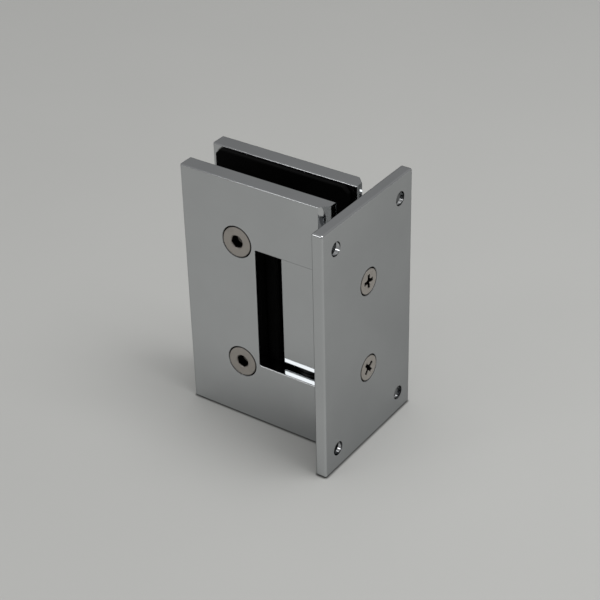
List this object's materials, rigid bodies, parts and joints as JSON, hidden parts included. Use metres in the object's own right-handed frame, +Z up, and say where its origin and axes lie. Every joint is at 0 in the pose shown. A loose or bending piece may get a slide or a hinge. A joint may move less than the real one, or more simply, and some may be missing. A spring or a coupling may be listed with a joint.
{
  "type": "glass door hinge",
  "caption": "Wall-to-glass hinge for a shower door: a full wall plate, a pivot block with a self-centring pin, and two gasketed leaves that clamp the glass.",
  "frame": {"origin": "middle of the wall plate's wall face, at mid height", "axes": "+X into the wall, glass along -X; +Z up along the pin; +Y across, with the rear leaf at +Y"},
  "size_m": [0.0634, 0.0508, 0.09],
  "materials": {
    "polished_chrome": "polished chrome plate",
    "screw_steel": "plain stainless steel",
    "pin_steel": "ground steel",
    "dark_steel": "black oxide",
    "spring_steel": "drawn wire",
    "brass": "turned",
    "bush_plastic": "turned acetal",
    "sleeve_plastic": "moulded",
    "black_rubber": "smooth"
  },
  "bodies": {
    "wall_side": {"wall_plate": "polished_chrome", "pivot_block": "polished_chrome", "bush_top": "bush_plastic", "bush_bottom": "bush_plastic", "plunger_spring_top": "spring_steel", "plunger_spring_bottom": "spring_steel", "block_screw_top": "screw_steel", "block_screw_bottom": "screw_steel"},
    "glass_side": {"pivot_pin": "pin_steel", "front_leaf": "polished_chrome", "rear_leaf": "polished_chrome", "front_gasket": "black_rubber", "rear_gasket": "black_rubber", "screw_sleeve_top": "sleeve_plastic", "screw_sleeve_bottom": "sleeve_plastic", "clamp_screw_top": "screw_steel", "clamp_screw_bottom": "screw_steel", "grub_screw_top": "dark_steel", "grub_screw_bottom": "dark_steel"},
    "top_plunger": {"plunger_top": "brass"},
    "bottom_plunger": {"plunger_bottom": "brass"}
  },
  "joints": [
    {"name": "door_swing", "type": "hinge", "parent": "wall_side", "child": "glass_side", "pos_m": [-0.02, 0, 0], "axis": [0, 0, 1], "range_deg": [-90, 90]},
    {"name": "top_plunger_travel", "type": "slide", "parent": "wall_side", "child": "top_plunger", "axis": [-1, 0, 0], "range_m": [0, 0.0007], "stiffness_N_per_m": 400, "springref_m": 0.003, "deforming": ["plunger_spring_top"]},
    {"name": "bottom_plunger_travel", "type": "slide", "parent": "wall_side", "child": "bottom_plunger", "axis": [-1, 0, 0], "range_m": [0, 0.0007], "stiffness_N_per_m": 400, "springref_m": 0.003, "deforming": ["plunger_spring_bottom"]}
  ]
}
